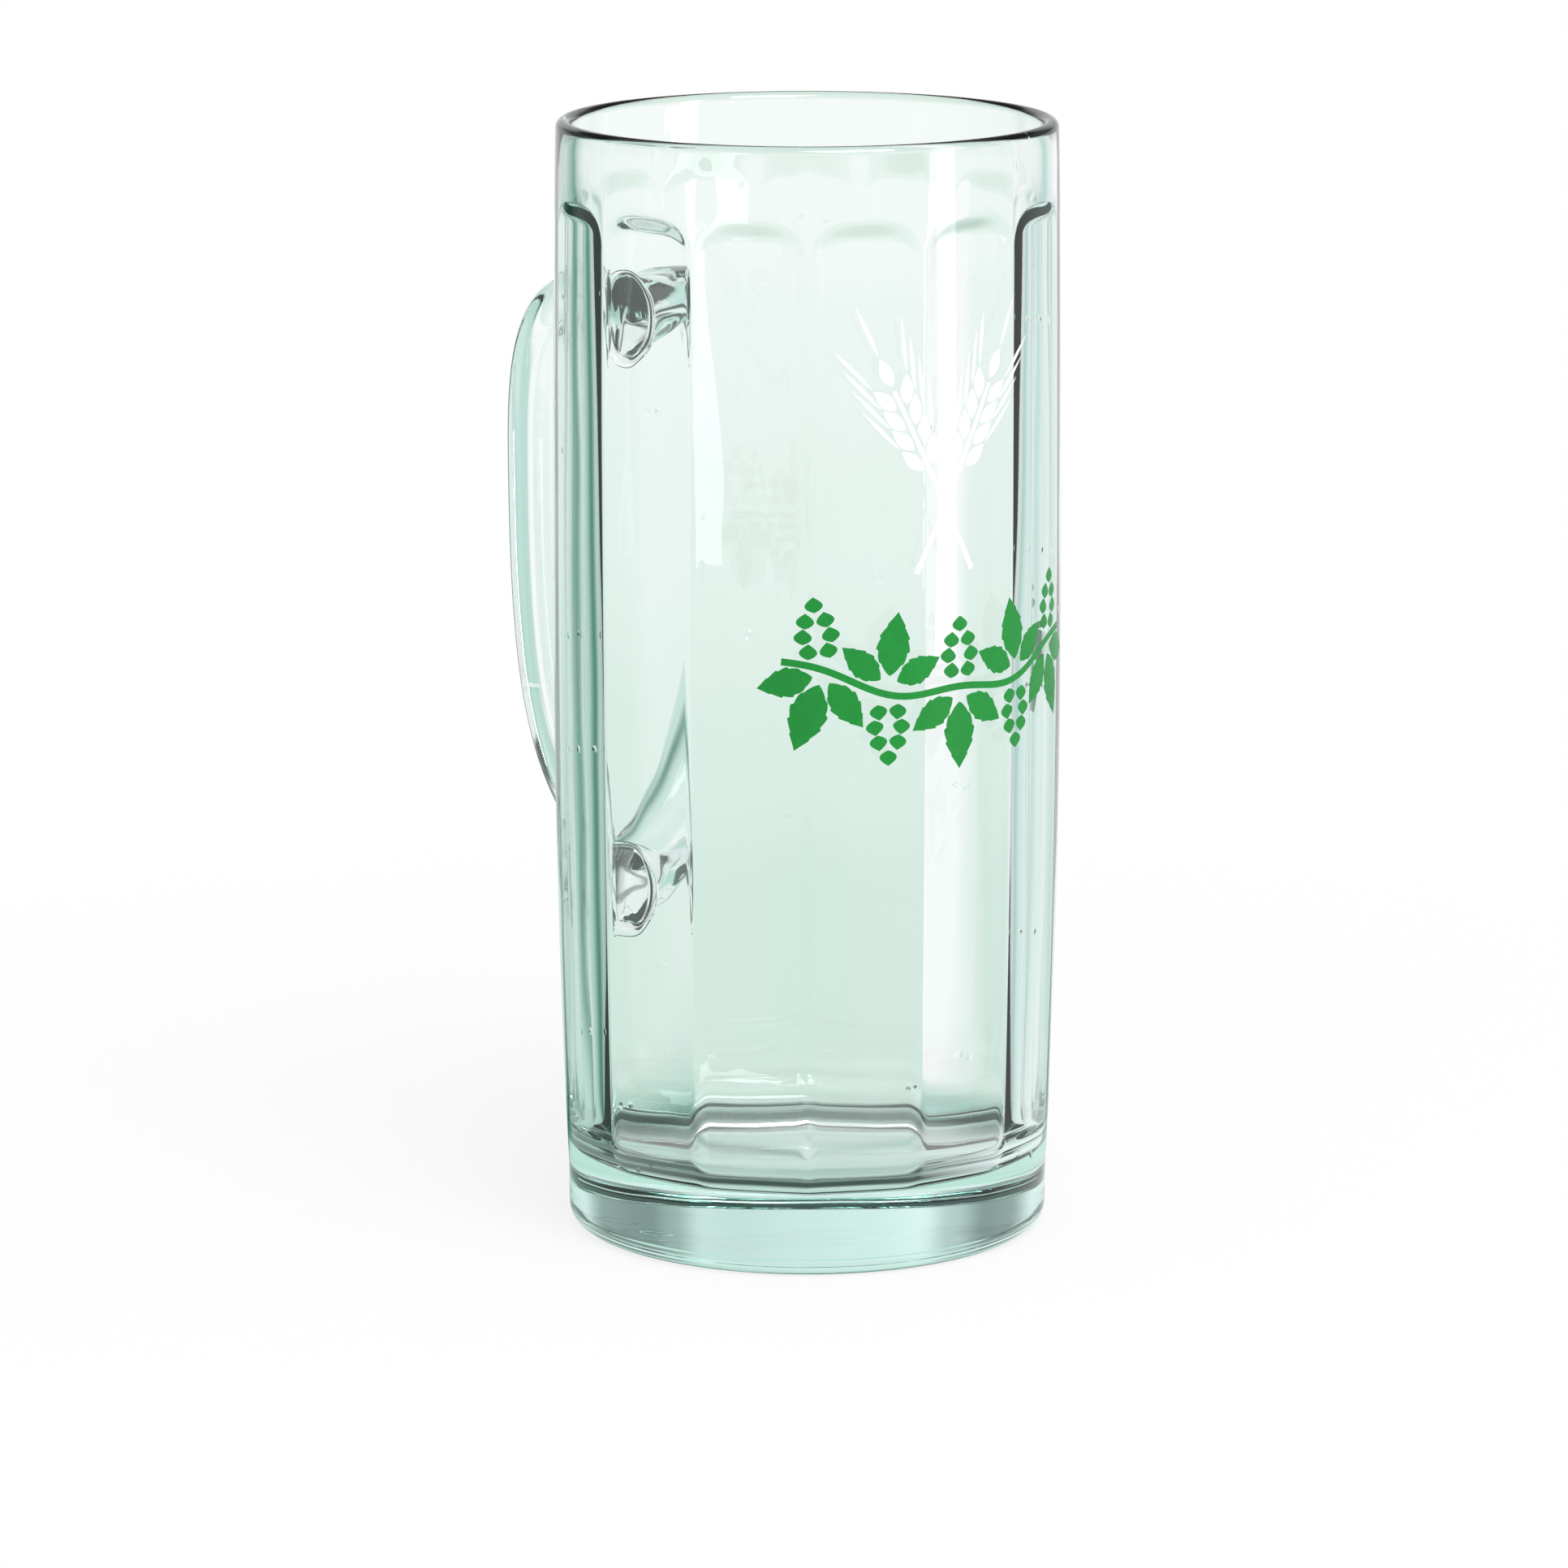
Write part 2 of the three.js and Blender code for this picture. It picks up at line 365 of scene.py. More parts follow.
def surface_tree(name, columns, count, shape, kept):
    """A tree that wraps a grid into a closed surface.

    shape() places a point from its turn and its row; the row's value named kept stays on the surface.
    """
    graph, enter, leave = new_group(
        name,
        "GeometryNodeTree",
        [
            ("Rows", "Geometry", None),
            ("Columns", "Int", columns),
            ("Row count", "Int", count),
            ("Finish", "Material", None),
        ],
        [("Surface", "Geometry")],
    )
    grid = graph.node("GeometryNodeMeshGrid", 1.0, 1.0)
    graph.feed(grid.inputs["Vertices X"], graph.add(enter["Columns"], 1.0))
    graph.feed(grid.inputs["Vertices Y"], enter["Row count"])
    x, y, _ = graph.split(graph.node("GeometryNodeInputPosition").outputs[0])
    turn = graph.mul(graph.add(x, 0.5), 2 * math.pi)
    row = graph.math("ROUND", graph.mul(graph.add(y, 0.5), graph.sub(enter["Row count"], 1.0)))

    def read(key, vector=False):
        kind = "FLOAT_VECTOR" if vector else "FLOAT"
        if key == "place":
            value = graph.node("GeometryNodeInputPosition").outputs[0]
        else:
            value = graph.node("GeometryNodeInputNamedAttribute", key, data_type=kind).outputs[0]
        sample = graph.node("GeometryNodeSampleIndex", enter["Rows"], data_type=kind)
        graph.feed(sample.inputs["Value"], value)
        graph.feed(sample.inputs["Index"], row)
        return sample.outputs[0]

    store = graph.node("GeometryNodeStoreNamedAttribute", grid.outputs["Mesh"])
    store.inputs["Name"].default_value = kept
    graph.feed(store.inputs["Value"], read(kept))
    moved = graph.node("GeometryNodeSetPosition", store.outputs[0])
    graph.feed(moved.inputs["Position"], graph.scale(shape(graph, turn, read), MM))
    closed = graph.node("GeometryNodeMergeByDistance", moved.outputs[0])
    closed.inputs["Distance"].default_value = SEAM_GAP
    graph.finish(closed.outputs[0], enter["Finish"], leave["Surface"])
    return graph.tree


def socket_of(tree, label):
    """Identifier of a tree's input."""
    for item in tree.interface.items_tree:
        if item.in_out == "INPUT" and item.name == label:
            return item.identifier
    raise KeyError(label)


def grown(name, source, tree, values):
    """A plain mesh object from a source mesh and a geometry tree, with the tree's inputs set by name."""
    seed = bpy.data.objects.new(name + "_source", source)
    bpy.context.scene.collection.objects.link(seed)
    modifier = seed.modifiers.new("shape", "NODES")
    modifier.node_group = tree
    for label, value in values.items():
        modifier[socket_of(tree, label)] = value
    view = bpy.context.evaluated_depsgraph_get()
    mesh = bpy.data.meshes.new_from_object(seed.evaluated_get(view), depsgraph=view)
    bpy.data.objects.remove(seed)
    mesh.name = name
    piece = bpy.data.objects.new(name, mesh)
    bpy.context.scene.collection.objects.link(piece)
    return piece


def face_outwards(piece):
    """Merges doubles and turns the faces of a closed mesh outwards."""
    edit = bmesh.new()
    edit.from_mesh(piece.data)
    bmesh.ops.remove_doubles(edit, verts=edit.verts, dist=DOUBLE_GAP)
    bmesh.ops.dissolve_degenerate(edit, edges=edit.edges, dist=DOUBLE_GAP)
    bmesh.ops.recalc_face_normals(edit, faces=edit.faces)
    if edit.calc_volume(signed=True) < 0:
        bmesh.ops.reverse_faces(edit, faces=edit.faces)
    edit.to_mesh(piece.data)
    edit.free()


# Body


def outer_row(radius, z):
    """A row of the underside, the wall or the lip, which are round."""
    return {
        "place": (radius, 0, z),
        "panelled": 0.0,
        "outline": RIM_RADIUS,
        "dip": 0.0,
        "outer_wall": 1.0,
    }


def inner_row(radius, z):
    """A row of the inside: round under the lip, panelled below the arched shelf."""
    low = smooth((z - BELLY_HEIGHT) / (SHELF_FOOT - BELLY_HEIGHT))
    return {
        "place": (radius, 0, z),
        "panelled": smooth((WINDOW_TOP - z) / SHELF_RUN),
        "outline": max(radius, INNER_FOOT),
        "dip": ARCH_DROP * low,
        "outer_wall": 0.0,
    }


def body_rows():
    """Rows of the body from the middle of the underside, round the lip, to the middle of the floor."""
    ring_outer = FOOT_RADIUS - HEEL_RADIUS
    ring_inner = ring_outer - RING_WIDTH
    slope = ring_inner - RECESS_SLOPE
    outside = [(r, RECESS_DEPTH) for r in spread(0, slope, RECESS_ROWS)]
    for t in spread(0, 1, SLOPE_ROWS):
        outside.append((mix(slope, ring_inner, t), mix(RECESS_DEPTH, 0, smooth(t))))
    outside += [(r, 0) for r in spread(ring_inner, ring_outer, RING_ROWS)]
    outside += arc(ring_outer, HEEL_RADIUS, HEEL_RADIUS, HEEL_RADIUS, -90, 0, HEEL_ROWS)
    outside += [(round_radius(z), z) for z in spread(HEEL_RADIUS, LIP_FOOT, WALL_ROWS)[1:]]
    outside += arc(RIM_RADIUS - LIP_WALL / 2, LIP_FOOT, LIP_WALL / 2, LIP_ROUND, 0, 180, LIP_ROWS)
    below_shelf = SHELF_FOOT - 2 * SHELF_RUN
    heights = spread(LIP_FOOT, WINDOW_TOP, NECK_ROWS)[1:]
    heights += spread(WINDOW_TOP, below_shelf, SHELF_ROWS)
    heights += spread(below_shelf, FILLET_TOP, PANEL_ROWS)
    inside = [(inner_radius(z), z) for z in heights]
    bend = INNER_FOOT - FLOOR_FILLET
    inside += arc(bend, FILLET_TOP, FLOOR_FILLET, FLOOR_FILLET, 0, -90, FILLET_ROWS)
    inside += [(bend * (1 - t), FLOOR_THICKNESS) for t in spread(0, 1, FLOOR_ROWS)[1:]]
    inside.append((0, FLOOR_THICKNESS))
    return [outer_row(*p) for p in outside] + [inner_row(*p) for p in inside]


def body_shape(graph, turn, read):
    """Place of a point of the body."""
    turn = crowded(graph, turn)
    radius, _, height = graph.split(read("place", True))
    side = graph.absolute(panel_side(graph, turn))
    shape = graph.node("GeometryNodeGroup", node_tree=PANELLED)
    graph.feed(shape.inputs["Angle"], turn)
    graph.feed(shape.inputs["Round radius"], read("outline"))
    change = graph.sub(graph.div(shape.outputs["Radius"], read("outline")), 1.0)
    out = graph.mul(radius, graph.add(graph.mul(change, read("panelled")), 1.0))
    x = graph.mul(out, graph.math("COSINE", turn))
    y = graph.mul(out, graph.math("SINE", turn))
    return graph.join(x, y, graph.sub(height, graph.mul(graph.power(side, ARCH_SHARPNESS), read("dip"))))


# Strap handle


def bezier(a, b, c, d, t):
    """Point of a cubic curve."""
    s = 1 - t
    return tuple(
        s**3 * p + 3 * s * s * t * q + 3 * s * t * t * r + t**3 * w for p, q, r, w in zip(a, b, c, d)
    )


def strap_line():
    """Closely spaced points of the strap's centre line, from wall to wall, as (distance out, height)."""
    upper_wall = round_radius(UPPER_ROOT)
    lower_wall = round_radius(LOWER_ROOT_HEIGHT)
    reach = BELLY_RADIUS + FINGER_GAP + STRAP_THICKNESS / 2
    grip = UPPER_ROOT - GRIP_TOP_DROP
    shoulder = (
        (upper_wall, UPPER_ROOT),
        (upper_wall + SHOULDER_REACH, UPPER_ROOT + SHOULDER_RISE),
        (reach, grip + SHOULDER_TENSION),
        (reach, grip),
    )
    leg = (
        (reach, grip),
        (reach, grip - GRIP_TENSION),
        (lower_wall + LOWER_LEG_REACH, LOWER_ROOT_HEIGHT + LOWER_LEG_RISE),
        (lower_wall, LOWER_ROOT_HEIGHT),
    )
    line = [bezier(*shoulder, i / LINE_STEPS) for i in range(LINE_STEPS)]
    return line + [bezier(*leg, i / LINE_STEPS) for i in range(LINE_STEPS + 1)]


def line_at(line, lengths, where):
    """Point and direction of the centre line at a distance along it."""
    i = 1
    while i < len(line) - 1 and lengths[i] < where:
        i += 1
    t = (where - lengths[i - 1]) / (lengths[i] - lengths[i - 1])
    point = tuple(mix(a, b, t) for a, b in zip(line[i - 1], line[i]))
    step = Vector((line[i][0] - line[i - 1][0], 0, line[i][1] - line[i - 1][1])).normalized()
    return point, step


def fillet(out):
    """How much the weld's fillet widens the strap on each side, at a distance out from the wall."""
    rest = min(max(1 - out / WELD_FILLET, 0.0), 1.0)
    return WELD_FILLET * (1 - math.sqrt(1 - rest * rest))


def shrunk(row, share):
    """A smaller ring of a weld face."""
    smaller = dict(row)
    smaller["half_width"] *= share
    smaller["half_depth"] *= share
    smaller["weld_face"] = 1.0
    return smaller


def strap_rows():
    """Rows of the strap: the upper root's weld face, the sections and the lower root's weld face."""
    line = strap_line()
    lengths = [0.0]
    for a, b in zip(line, line[1:]):
        lengths.append(lengths[-1] + math.dist(a, b))
    total = lengths[-1]
    close = [CLOSE_RUN * (1 - math.cos(math.pi / 2 * t)) for t in spread(0, 1, CLOSE_ROWS)]
    places = close + spread(CLOSE_RUN, total - CLOSE_RUN, STRAP_ROWS) + [total - x for x in reversed(close)]
    rows = []
    for where in places:
        point, along = line_at(line, lengths, where)
        out = min(where, total - where)
        square = Vector((-along.z, 0, along.x))
        upright = Vector((0, 0, 1 if along.x > 0 else -1))
        up = square.lerp(upright, smooth((UPRIGHT_START - out) / (UPRIGHT_START - UPRIGHT_END)))
        up /= up.dot(square)
        thin = smooth(where / (SHOULDER_REACH + GRIP_TOP_DROP))
        half_depth = mix(SHOULDER_THICKNESS, STRAP_THICKNESS, thin) / 2
        root_depth = UPPER_ROOT_HALF_DEPTH if where < total / 2 else LOWER_ROOT_HALF_DEPTH
        near = smooth(1 - out / OVAL_RUN)
        rows.append({
            "place": (point[0], 0, point[1]),
            "up": tuple(up),
            "half_width": mix(STRAP_WIDTH / 2, ROOT_HALF_WIDTH, near) + fillet(out),
            "half_depth": mix(half_depth, root_depth, near) + fillet(out),
            "square": mix(ROOT_SQUARENESS, SECTION_SQUARENESS, smooth(out / ROUNDING_RUN)),
            "seat": smooth(1 - out / SEAT_RUN),
            "weld_face": 0.0,
        })
    shares = spread(0, 1, WELD_ROWS)
    first_face = [shrunk(rows[0], t) for t in shares]
    last_face = [shrunk(rows[-1], 1 - t) for t in shares[1:]] + [shrunk(rows[-1], 0)]
    return first_face + rows + last_face


def strap_shape(graph, turn, read):
    """Place of a point of the strap, with the root's faces fitted to the wall."""

    def squared(wave):
        size = graph.power(graph.absolute(wave), graph.div(2.0, read("square")))
        return graph.mul(graph.math("SIGN", wave), size)

    centre = read("place", True)
    side = graph.mul(read("half_width"), squared(graph.math("COSINE", turn)))
    deep = graph.mul(read("half_depth"), squared(graph.math("SINE", turn)))
    lift = graph.scale(read("up", True), deep)
    x, _, z = graph.split(graph.node("ShaderNodeVectorMath", centre, lift, operation="ADD").outputs[0])
    _, _, middle_z = graph.split(centre)
    reach = wall_radius(graph, z)
    face = graph.math("SQRT", graph.sub(graph.mul(reach, reach), graph.mul(side, side)))
    fit = graph.mul(graph.sub(face, wall_radius(graph, middle_z)), read("seat"))
    return graph.join(graph.add(x, fit), side, z)


# Glass

GLASS_IOR = 1.51
GLASS_TINT = (0.2, 0.95, 0.8, 1)
TINT_DENSITY = 5.0

# Share of a root's oval that is joined, and limits above which a point belongs to the wall or a weld face
WELD_SHARE = 0.97
WALL_LIMIT = 0.99
FACE_LIMIT = 0.02

# Upright waves from the mould and small seeds, with heights in metres
WAVE_SCALE = 70.0
WAVE_DETAIL = 1.0
WAVE_STRETCH = 0.3
WAVE_HEIGHT = 0.0002
SEED_SCALE = 32.0
SEED_RADIUS = 0.02
SEED_HEIGHT = 0.00006


def weld_group():
    """1 where the glass of the body and the strap runs together at a root, else 0."""
    graph, _, leave = new_group("Weld", "ShaderNodeTree", [], [("Joined", "Float")])
    x, y, z = graph.split(graph.place())
    wide = graph.div(graph.absolute(y), (ROOT_HALF_WIDTH + WELD_FILLET) * MM)
    inside = 0.0
    for middle, depth in ((UPPER_ROOT, UPPER_ROOT_HALF_DEPTH), (LOWER_ROOT_HEIGHT, LOWER_ROOT_HALF_DEPTH)):
        tall = graph.div(graph.absolute(graph.sub(z, middle * MM)), (depth + WELD_FILLET) * MM)
        oval = graph.add(graph.power(wide, ROOT_SQUARENESS), graph.power(tall, ROOT_SQUARENESS))
        inside = graph.larger(inside, graph.math("LESS_THAN", oval, WELD_SHARE))
    wall = graph.node("ShaderNodeAttribute", attribute_name="outer_wall").outputs["Fac"]
    face = graph.node("ShaderNodeAttribute", attribute_name="weld_face").outputs["Fac"]
    on_wall = graph.mul(inside, graph.above(wall, WALL_LIMIT))
    on_wall = graph.mul(on_wall, graph.above(x, 0.0))
    graph.feed(leave["Joined"], graph.larger(on_wall, graph.above(face, FACE_LIMIT)))
    return graph.tree


def pressed_group():
    """Normal of a pressed surface: long upright waves from the mould, and a few seeds."""
    graph, _, leave = new_group("Pressed surface", "ShaderNodeTree", [], [("Normal", "Vector")])
    x, y, z = graph.split(graph.place())
    waves = graph.noise(graph.join(x, y, graph.mul(z, WAVE_STRETCH)), WAVE_SCALE, WAVE_DETAIL)
    round_wall = graph.mul(graph.math("ARCTAN2", y, x), BELLY_RADIUS * MM)
    seeds = graph.node("ShaderNodeTexVoronoi", graph.join(round_wall, z, 0.0), voronoi_dimensions="2D")
    seeds.inputs["Scale"].default_value = SEED_SCALE
    seed = graph.span(seeds.outputs["Distance"], (0.0, SEED_RADIUS), (1.0, 0.0))
    height = graph.add(graph.mul(waves, WAVE_HEIGHT), graph.mul(seed, SEED_HEIGHT))
    bump = graph.node("ShaderNodeBump")
    bump.inputs["Distance"].default_value = 1.0
    graph.feed(bump.inputs["Height"], height)
    graph.feed(leave["Normal"], bump.outputs["Normal"])
    return graph.tree


def glass():
    """Clear glass that tints what passes through it, with no surface where the strap is welded on."""
    material = bpy.data.materials.new("clear_pressed_glass")
    material.use_nodes = True
    graph = Graph(material.node_tree)
    shader = graph.tree.nodes["Principled BSDF"]
    shader.inputs["Base Color"].default_value = (1, 1, 1, 1)
    shader.inputs["Roughness"].default_value = 0.0
    shader.inputs["IOR"].default_value = GLASS_IOR
    shader.inputs["Transmission Weight"].default_value = 1.0
    weld = graph.node("ShaderNodeGroup", node_tree=weld_group())
    graph.feed(shader.inputs["Alpha"], graph.sub(1.0, weld.outputs["Joined"]))
    pressed = graph.node("ShaderNodeGroup", node_tree=pressed_group())
    graph.feed(shader.inputs["Normal"], pressed.outputs["Normal"])
    volume = graph.node("ShaderNodeVolumeAbsorption")
    volume.inputs["Color"].default_value = GLASS_TINT
    volume.inputs["Density"].default_value = TINT_DENSITY
    graph.feed(graph.tree.nodes["Material Output"].inputs["Volume"], volume.outputs[0])
    return material


# Enamel

WHITE_ENAMEL = (0.95, 0.95, 0.95)
GREEN_ENAMEL = (0.011, 0.24, 0.035)
ENAMEL_SPECULAR = 0.2
GRAIN_SCALE = 1400.0
GRAIN_DETAIL = 4.0
GRAIN_SHARE = 0.6
CLOUD_SCALE = 160.0
CLOUD_DETAIL = 2.0
CLOUD_SHARE = 0.4
UNEVEN_RANGE = (0.3, 0.7)
SHADE_RANGE = (0.86, 1.06)
ROUGHNESS_RANGE = (0.42, 0.26)


def enamel_group():
    """Uneven coverage of a fired enamel: a shade for the colour and a roughness."""
    graph, _, leave = new_group("Enamel", "ShaderNodeTree", [], [("Shade", "Float"), ("Roughness", "Float")])
    place = graph.place()
    grain = graph.mul(graph.noise(place, GRAIN_SCALE, GRAIN_DETAIL), GRAIN_SHARE)
    cloud = graph.mul(graph.noise(place, CLOUD_SCALE, CLOUD_DETAIL), CLOUD_SHARE)
    uneven = graph.add(grain, cloud)
    graph.feed(leave["Shade"], graph.span(uneven, UNEVEN_RANGE, SHADE_RANGE))
    graph.feed(leave["Roughness"], graph.span(uneven, UNEVEN_RANGE, ROUGHNESS_RANGE))
    return graph.tree


ENAMEL = enamel_group()


def enamel(name, colour):
    """A fired enamel of one colour."""
    material = bpy.data.materials.new(name)
    material.use_nodes = True
    graph = Graph(material.node_tree)
    shader = graph.tree.nodes["Principled BSDF"]
    uneven = graph.node("ShaderNodeGroup", node_tree=ENAMEL)
    graph.feed(shader.inputs["Base Color"], graph.scale(colour, uneven.outputs["Shade"]))
    graph.feed(shader.inputs["Roughness"], uneven.outputs["Roughness"])
    shader.inputs["Specular IOR Level"].default_value = ENAMEL_SPECULAR
    return material


# Print: crossed barley ears over a garland of hops, drawn flat in millimetres and wrapped round the wall

PRINT_ANGLE = math.radians(172.0)
PRINT_LIFT = 0.012
PRINT_FILM = 0.03
PRINT_STEP = 0.8
EARS_MIDDLE = (-1.4, 131.0)
GARLAND_MIDDLE = (1.4, 93.0)

# Direction along which the slab's points and faces are put in order, because an extrusion leaves none
PRINT_ORDER = Vector((1.0, 17.31, 5003.7))

# Pointed ovals: how many points, how far down the widest place is, and how deep the teeth are
PETAL_STEPS = 10
TOOTH_STEPS = 4
PETAL_SHIFT = 0.85
TOOTH_DEPTH = 0.16

# Barley ears: lengths and widths, leans in radians, and places as shares of the stalk
STALK_FOOT = (5.0, -20.0)
STALK_BEND = (0.0, -10.0)
STALK_TIP = (-9.0, 9.0)
STALK_WIDTHS = (0.9, 0.6)
STALK_STEPS = 12
STALK_END = 0.98
STALK_GAP = (0.375, 0.455)
GRAIN_PLACES = (0.635, 0.735, 0.825, 0.912)
GRAIN_LENGTH = 4.7
GRAIN_WIDTH = 2.1
GRAIN_OFFSET = 1.0
GRAIN_LEAN = 0.42
AWN_LENGTH = 8.5
AWN_WIDTH = 0.6
AWN_START = 5.1
AWN_LEAN = 0.34

# Hop leaves: the lean, length and width of each lobe, as shares of the leaf's size
LOBES = ((0, 1.0, 0.56), (-1.0, 0.8, 0.44), (1.0, 0.8, 0.44))
LOBE_TEETH = 5
LOBE_START = 1.6

# Hop cones: half the distance between the two scales of each row, as shares of the cone's size
CONE_ROWS = (0.2, 0.27, 0.2, 0.0)
CONE_SIZE = 8.5
CONE_ROW_STEP = 0.28
SCALE_LENGTH = 0.29
SCALE_WIDTH = 0.33
SCALE_LEAN = 0.12

# Garland: its stem, and for each leaf or cone the place along the stem, the height off it and the lean
STEM_HALF = 29.0
STEM_HEIGHT = 5.0
STEM_SAG = 6.0
STEM_WAVE = 0.8
STEM_HALF_WAVES = 5
STEM_WIDTH = 1.1
STEM_STEPS = 60
LEAVES = (
    (0.11, -0.8, 3.5, 11.0),
    (0.5, -0.8, math.pi, 10.5),
    (0.89, -0.8, 2.78, 11.0),
    (0.285, 1.3, 0.15, 10.0),
    (0.715, 1.3, -0.15, 10.0),
)
CONES = (
    (0.286, -1.5, 3.14),
    (0.714, -1.5, 3.14),
    (0.5, 1.4, 0.0),
    (0.1, 1.5, -0.1),
    (0.9, 1.5, 0.1),
)


def petal(length, width, teeth=0):
    """Outline of a pointed oval from the origin along +Y, with a toothed edge if asked."""
    count = PETAL_STEPS + TOOTH_STEPS * teeth
    half = []
    for i in range(1, count):
        t = i / count
        tooth = 1 - TOOTH_DEPTH * ((t * teeth) % 1) if teeth else 1
        half.append((width / 2 * math.sin(math.pi * t**PETAL_SHIFT) * tooth, length * t))
    return [(0, 0)] + half + [(0, length)] + [(-x, y) for x, y in reversed(half)]


def placed(outline, x, y, lean):
    """An outline leant clockwise from upright and moved to a place."""
    c, s = math.cos(lean), math.sin(lean)
    return [(x + px * c + py * s, y + py * c - px * s) for px, py in outline]


def strip(points, start, end):
    """Outline of a strip along a line of points, with a width that goes from start to end."""
    left, right = [], []
    for i, (x, y) in enumerate(points):
        before, after = points[max(i - 1, 0)], points[min(i + 1, len(points) - 1)]
        along = math.atan2(after[1] - before[1], after[0] - before[0])
        half = mix(start, end, i / (len(points) - 1)) / 2
        left.append((x - half * math.sin(along), y + half * math.cos(along)))
        right.append((x + half * math.sin(along), y - half * math.cos(along)))
    return right + left[::-1]


def barley_ear(side, parted):
    """A stalk that bends to one side, with pairs of grains and long awns; the ear behind is parted."""

    def stalk(t):
        s = 1 - t
        x, y = (s * s * a + 2 * s * t * b + t * t * c for a, b, c in zip(STALK_FOOT, STALK_BEND, STALK_TIP))
        return side * x, y

    def lean(t):
        s = 1 - t
        x, y = (s * (b - a) + t * (c - b) for a, b, c in zip(STALK_FOOT, STALK_BEND, STALK_TIP))
        return math.atan2(side * x, y)

    def grain(t, way):
        x, y = stalk(t)
        x += way * GRAIN_OFFSET * math.cos(lean(t))
        y -= way * GRAIN_OFFSET * math.sin(lean(t))
        tilt = lean(t) + way * GRAIN_LEAN
        awn_x = x + AWN_START * math.sin(tilt)
        awn_y = y + AWN_START * math.cos(tilt)
        awn = placed(petal(AWN_LENGTH, AWN_WIDTH), awn_x, awn_y, lean(t) + way * AWN_LEAN)
        return [placed(petal(GRAIN_LENGTH, GRAIN_WIDTH), x, y, tilt), awn]

    lengths = [(0.0, STALK_GAP[0]), (STALK_GAP[1], STALK_END)] if parted else [(0.0, STALK_END)]
    shapes = []
    for a, b in lengths:
        points = [stalk(mix(a, b, i / STALK_STEPS)) for i in range(STALK_STEPS + 1)]
        shapes.append(strip(points, *STALK_WIDTHS))
    for t in GRAIN_PLACES:
        shapes += grain(t, -1) + grain(t, 1)
    return shapes + grain(1.0, 0)


def hop_leaf(x, y, lean, size):
    """Toothed lobes round a stalk."""
    shapes = []
    for turn, long, wide in LOBES:
        lobe = petal(size * long, size * wide, LOBE_TEETH)
        foot_x = x + LOBE_START * math.sin(lean + turn)
        foot_y = y + LOBE_START * math.cos(lean + turn)
        shapes.append(placed(lobe, foot_x, foot_y, lean + turn))
    return shapes


def hop_cone(x, y, lean, size):
    """Rows of scales that close to a tip."""
    shapes = []
    for row, apart in enumerate(CONE_ROWS):
        along = size * CONE_ROW_STEP * row
        for way in (-1, 1) if apart else (0,):
            out = way * size * apart
            foot_x = x + along * math.sin(lean) + out * math.cos(lean)
            foot_y = y + along * math.cos(lean) - out * math.sin(lean)
            scale = petal(size * SCALE_LENGTH, size * SCALE_WIDTH)
            shapes.append(placed(scale, foot_x, foot_y, lean - way * SCALE_LEAN))
    return shapes


def garland():
    """A wavy stem with leaves and cones on both sides."""

    def stem(t):
        sag = STEM_HEIGHT - STEM_SAG * math.sin(math.pi * t)
        return mix(-STEM_HALF, STEM_HALF, t), sag + STEM_WAVE * math.sin(STEM_HALF_WAVES * math.pi * t)

    shapes = [strip([stem(i / STEM_STEPS) for i in range(STEM_STEPS + 1)], STEM_WIDTH, STEM_WIDTH)]
    for t, off, lean, size in LEAVES:
        x, y = stem(t)
        shapes += hop_leaf(x, y + off, lean, size)
    for t, off, lean in CONES:
        x, y = stem(t)
        shapes += hop_cone(x, y + off, lean, CONE_SIZE)
    return shapes


def print_slab(name, shapes, middle):
    """A flat slab of the outlines, cut into narrow strips so that it can bend round the wall."""
    edit = bmesh.new()
    for outline in shapes:
        edit.faces.new([edit.verts.new((x + middle[0], y + middle[1], 0)) for x, y in outline])
    edit.normal_update()
    bmesh.ops.triangulate(edit, faces=edit.faces)
    sides = [v.co.x for v in edit.verts]
    for i in range(math.ceil(min(sides) / PRINT_STEP), math.floor(max(sides) / PRINT_STEP) + 1):
        every = edit.verts[:] + edit.edges[:] + edit.faces[:]
        bmesh.ops.bisect_plane(edit, geom=every, plane_co=(i * PRINT_STEP, 0, 0), plane_no=(1, 0, 0))
    raised = bmesh.ops.extrude_face_region(edit, geom=edit.faces[:], use_keep_orig=True)["geom"]
    top = [v for v in raised if isinstance(v, bmesh.types.BMVert)]
    bmesh.ops.translate(edit, verts=top, vec=(0, 0, 1))
    edit.verts.sort(key=lambda v: v.co.dot(PRINT_ORDER))
    edit.faces.sort(key=lambda f: f.calc_center_median().dot(PRINT_ORDER))
    mesh = bpy.data.meshes.new(name)
    edit.to_mesh(mesh)
    edit.free()
    return mesh


def wrap_tree():
    """A tree that wraps a flat slab round the outer wall as a thin film."""
    graph, enter, leave = new_group(
        "Print film",
        "GeometryNodeTree",
        [
            ("Slab", "Geometry", None),
            ("Angle", "Float", 0.0),
            ("Lift", "Float", 0.0),
            ("Film", "Float", 0.0),
            ("Finish", "Material", None),
        ],
        [("Film", "Geometry")],
    )
    along, height, depth = graph.split(graph.node("GeometryNodeInputPosition").outputs[0])
    off_wall = graph.add(enter["Lift"], graph.mul(depth, enter["Film"]))
    radius = graph.add(wall_radius(graph, height), off_wall)
    angle = graph.add(enter["Angle"], graph.div(along, BELLY_RADIUS))
    x = graph.mul(radius, graph.math("COSINE", angle))
    y = graph.mul(radius, graph.math("SINE", angle))
    bent = graph.node("GeometryNodeSetPosition", enter["Slab"])
    graph.feed(bent.inputs["Position"], graph.scale(graph.join(x, y, height), MM))
    graph.finish(bent.outputs[0], enter["Finish"], leave["Film"])
    return graph.tree


# Pieces

